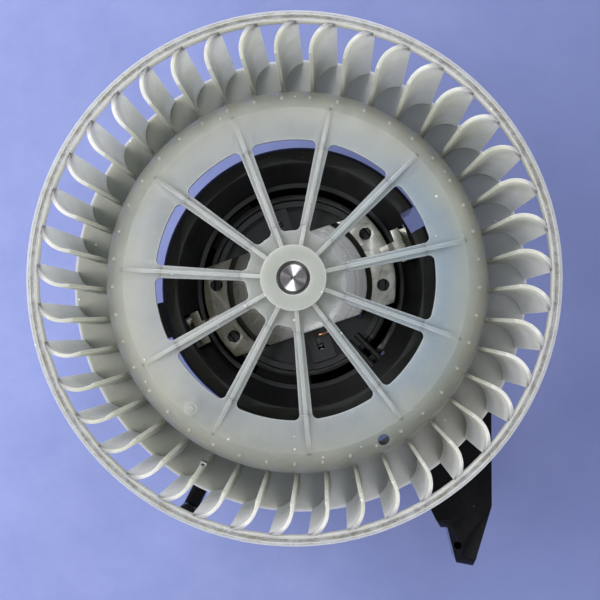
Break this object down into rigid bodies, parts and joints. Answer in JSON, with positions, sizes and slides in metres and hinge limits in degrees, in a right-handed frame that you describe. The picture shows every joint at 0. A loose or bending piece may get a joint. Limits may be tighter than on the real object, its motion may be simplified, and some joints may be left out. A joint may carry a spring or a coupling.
{
  "type": "blower motor wheel",
  "caption": "Squirrel-cage fan wheel with forward-curved blades, pressed on the shaft of a small brushed motor that is clipped into a moulded holder with a connector arm.",
  "frame": {"origin": "centre of the motor's rear boss, on the plane that the motor and its holder stand on", "axes": "+Z along the spin axis towards the air inlet; +X to the right as seen into the inlet, with the connector arm towards +X and -Y"},
  "size_m": [0.15, 0.1675, 0.118],
  "materials": {
    "natural_polypropylene": "satin, milky and slightly translucent",
    "black_plastic": "fine moulded grain",
    "galvanised_steel": "zinc coated, stamped",
    "black_steel": "black coated, drawn",
    "turned_steel": "turned and ground",
    "spring_steel": "bright spring steel",
    "electrical_steel": "laminated sheet edges",
    "enamelled_copper": "enamelled wire",
    "bare_copper": "bare copper",
    "brass_sheet": "rolled brass",
    "sintered_bronze": "porous sintered bronze",
    "phenolic_resin": "moulded phenolic",
    "ferrite": "sintered ferrite",
    "carbon": "pressed carbon",
    "felt": "oiled felt",
    "capacitor_resin": "dipped resin",
    "isolator_rubber": "soft rubber",
    "black_insulation": "insulated wire"
  },
  "bodies": {
    "motor": {"yoke_can": "black_steel", "magnet_right": "ferrite", "magnet_left": "ferrite", "magnet_springs": "spring_steel", "bearing_bridge": "galvanised_steel", "front_bearing": "sintered_bronze", "rear_bearing": "sintered_bronze", "oil_felt": "felt", "front_bearing_retainer": "spring_steel", "rear_bearing_retainer": "spring_steel", "brush_card": "black_plastic", "brush_tube_a": "black_plastic", "brush_tube_b": "black_plastic", "brush_spring_a": "spring_steel", "brush_spring_b": "spring_steel", "brush_pigtail_a": "bare_copper", "brush_pigtail_b": "bare_copper", "choke_a_core": "ferrite", "choke_b_core": "ferrite", "choke_a_winding": "enamelled_copper", "choke_b_winding": "enamelled_copper", "suppression_capacitor": "capacitor_resin", "motor_holder": "black_plastic", "connector_arm": "black_plastic", "mounting_leg": "black_plastic", "spring_clip_right": "galvanised_steel", "spring_clip_left": "galvanised_steel", "isolator_pads": "isolator_rubber", "foot_isolator": "isolator_rubber", "lead_positive": "black_insulation", "lead_negative": "black_insulation", "terminal_positive": "brass_sheet", "terminal_negative": "brass_sheet", "connector_housing": "black_plastic"},
    "rotor": {"wheel_hub": "natural_polypropylene", "wheel_spokes": "natural_polypropylene", "wheel_plate": "natural_polypropylene", "fan_blades": "natural_polypropylene", "inlet_ring": "natural_polypropylene", "balance_clip": "spring_steel", "motor_shaft": "turned_steel", "armature_core": "electrical_steel", "armature_windings": "enamelled_copper", "commutator_hub": "phenolic_resin", "commutator_bars": "bare_copper", "thrust_washers": "phenolic_resin"},
    "brush_carbon_a": {"brush_a": "carbon"},
    "brush_carbon_b": {"brush_b": "carbon"}
  },
  "joints": [
    {"name": "wheel_spin", "type": "hinge", "parent": "motor", "child": "rotor", "pos_m": [0, 0, 0.06], "axis": [0, 0, 1], "continuous": true},
    {"name": "brush_slide_a", "type": "slide", "parent": "motor", "child": "brush_carbon_a", "axis": [-0.3256, 0.9455, 0], "range_m": [0, 0.0015], "stiffness_N_per_m": 150, "springref_m": -0.004, "deforming": ["brush_spring_a", "brush_pigtail_a"]},
    {"name": "brush_slide_b", "type": "slide", "parent": "motor", "child": "brush_carbon_b", "axis": [0.3256, -0.9455, 0], "range_m": [0, 0.0015], "stiffness_N_per_m": 150, "springref_m": -0.004, "deforming": ["brush_spring_b", "brush_pigtail_b"]}
  ]
}
